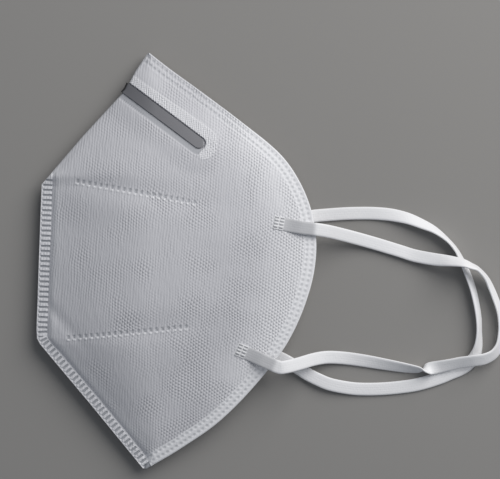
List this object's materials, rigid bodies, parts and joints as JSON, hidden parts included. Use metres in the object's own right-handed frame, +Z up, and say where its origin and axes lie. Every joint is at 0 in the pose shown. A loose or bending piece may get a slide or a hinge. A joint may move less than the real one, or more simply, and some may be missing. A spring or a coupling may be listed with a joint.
{
  "type": "particulate respirator mask",
  "caption": "Flat-fold particulate respirator mask lying on its side, with a metal nose clip and two flat elastic ear loops.",
  "frame": {"origin": "middle of the folded mask body's outline, on the surface it lies on", "axes": "+X from the front weld towards the open face side, +Y from the chin to the nose, +Z up from the surface through the near panel"},
  "size_m": [0.181, 0.16, 0.0161],
  "materials": {
    "filter_fabric": "white spunbond nonwoven, point bonded, matt",
    "clip_metal": "dark grey rolled strip, satin",
    "loop_elastic": "white knitted elastic, matt"
  },
  "bodies": {
    "root": {"mask_body": "filter_fabric", "nose_clip": "clip_metal", "ear_loop_near": "loop_elastic", "ear_loop_far": "loop_elastic"}
  },
  "joints": []
}
